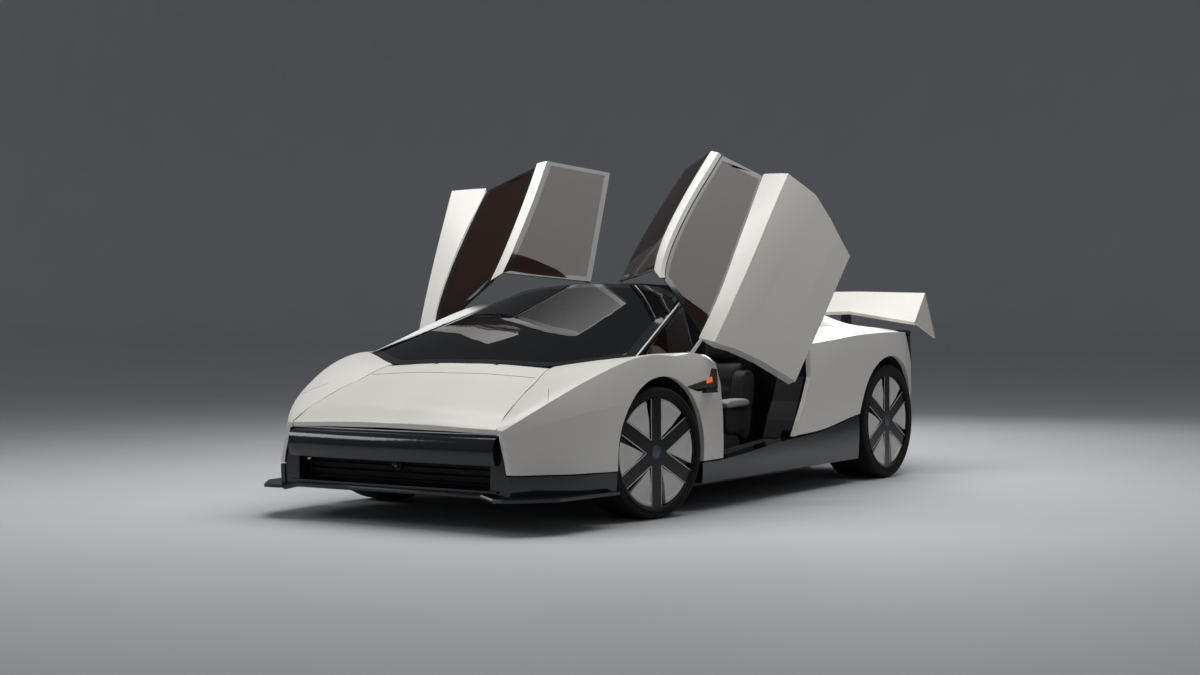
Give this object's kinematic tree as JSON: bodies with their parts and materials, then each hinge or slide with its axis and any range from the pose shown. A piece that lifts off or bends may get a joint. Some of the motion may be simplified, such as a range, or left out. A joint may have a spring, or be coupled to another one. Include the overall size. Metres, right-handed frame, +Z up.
{
  "type": "mid-engined sports car",
  "caption": "Low mid-engined two-seat sports car with dihedral doors swung up, glazed roof panels, slatted nose intake and a raised rear wing.",
  "frame": {"origin": "on the ground, under the middle of the overall length and width", "axes": "+Z up, -Y towards the nose, +X towards the car's left side"},
  "size_m": [2.9018, 4.55, 1.9789],
  "materials": {
    "body_white": "satin",
    "gloss_navy": "gloss",
    "frame_black": "satin",
    "screen_glass": "gloss",
    "bronze_glass": "gloss",
    "lamp_clear": "gloss",
    "lamp_red": "gloss",
    "liner_black": "matte",
    "trim_black": "matte",
    "seat_grey": "satin",
    "cast_alloy": "satin",
    "arm_steel": "satin",
    "tyre_black": "matte",
    "rim_black": "gloss",
    "cover_white": "satin"
  },
  "bodies": {
    "chassis": {"cabin_tub": "frame_black", "dashboard": "trim_black", "diffuser": "gloss_navy", "fenders": "body_white", "front_bumper": "gloss_navy", "front_tub": "frame_black", "intake_grille": "trim_black", "light_bar": "lamp_clear", "power_unit": "cast_alloy", "quarter_glass": "bronze_glass", "rear_fascia": "gloss_navy", "rear_frame": "frame_black", "rear_quarters": "body_white", "roof_frame": "frame_black", "seats": "seat_grey", "side_cameras": "gloss_navy", "sills": "gloss_navy", "splitter": "gloss_navy", "steering_wheel": "trim_black", "suspension": "arm_steel", "tail_lamp": "lamp_red", "wheel_liners": "liner_black", "windscreen": "screen_glass", "wing": "body_white", "wing_pylons": "gloss_navy"},
    "hood": {"hood": "body_white"},
    "engine_cover": {"engine_cover": "body_white"},
    "door_left": {"door_shell_left": "body_white", "door_frame_left": "body_white", "door_glass_left": "bronze_glass"},
    "door_right": {"door_shell_right": "body_white", "door_frame_right": "body_white", "door_glass_right": "bronze_glass"},
    "knuckle_left": {"knuckle_left": "arm_steel"},
    "knuckle_right": {"knuckle_right": "arm_steel"},
    "wheel_front_left": {"tyre_front_left": "tyre_black", "rim_front_left": "rim_black", "wheel_cover_front_left": "cover_white"},
    "wheel_front_right": {"tyre_front_right": "tyre_black", "rim_front_right": "rim_black", "wheel_cover_front_right": "cover_white"},
    "wheel_rear_left": {"tyre_rear_left": "tyre_black", "rim_rear_left": "rim_black", "wheel_cover_rear_left": "cover_white"},
    "wheel_rear_right": {"tyre_rear_right": "tyre_black", "rim_rear_right": "rim_black", "wheel_cover_rear_right": "cover_white"}
  },
  "joints": [
    {"name": "door_left_hinge", "type": "hinge", "parent": "chassis", "child": "door_left", "pos_m": [0.9, -0.79764, 0.81463], "axis": [0.7833, -0.436, -0.4431], "range_deg": [-63.9, 0]},
    {"name": "door_right_hinge", "type": "hinge", "parent": "chassis", "child": "door_right", "pos_m": [-0.9, -0.79764, 0.81463], "axis": [0.7833, 0.436, 0.4431], "range_deg": [-63.9, 0]},
    {"name": "hood_hinge", "type": "hinge", "parent": "chassis", "child": "hood", "pos_m": [0, -1.58716, 0.77928], "axis": [-1, 0, 0], "range_deg": [0, 45]},
    {"name": "engine_cover_hinge", "type": "hinge", "parent": "chassis", "child": "engine_cover", "pos_m": [0, 0.56809, 1.18517], "axis": [1, 0, 0], "range_deg": [0, 45]},
    {"name": "steer_left", "type": "hinge", "parent": "chassis", "child": "knuckle_left", "pos_m": [0.8075, -1.23306, 0.34], "axis": [0, 0, 1], "range_deg": [-24, 44]},
    {"name": "steer_right", "type": "hinge", "parent": "chassis", "child": "knuckle_right", "pos_m": [-0.8075, -1.23306, 0.34], "axis": [0, 0, 1], "range_deg": [-24, 44]},
    {"name": "wheel_front_left_spin", "type": "hinge", "parent": "knuckle_left", "child": "wheel_front_left", "pos_m": [0.8075, -1.23306, 0.34], "axis": [0.9839, -0.1788, 0], "continuous": true},
    {"name": "wheel_front_right_spin", "type": "hinge", "parent": "knuckle_right", "child": "wheel_front_right", "pos_m": [-0.8075, -1.23306, 0.34], "axis": [0.9839, -0.1788, 0], "continuous": true},
    {"name": "wheel_rear_left_spin", "type": "hinge", "parent": "chassis", "child": "wheel_rear_left", "pos_m": [0.85, 1.43492, 0.36], "axis": [1, 0, 0], "continuous": true},
    {"name": "wheel_rear_right_spin", "type": "hinge", "parent": "chassis", "child": "wheel_rear_right", "pos_m": [-0.85, 1.43492, 0.36], "axis": [1, 0, 0], "continuous": true}
  ],
  "couplings": [
    {"joint": "steer_right", "follows": "steer_left", "ratio": 1}
  ]
}
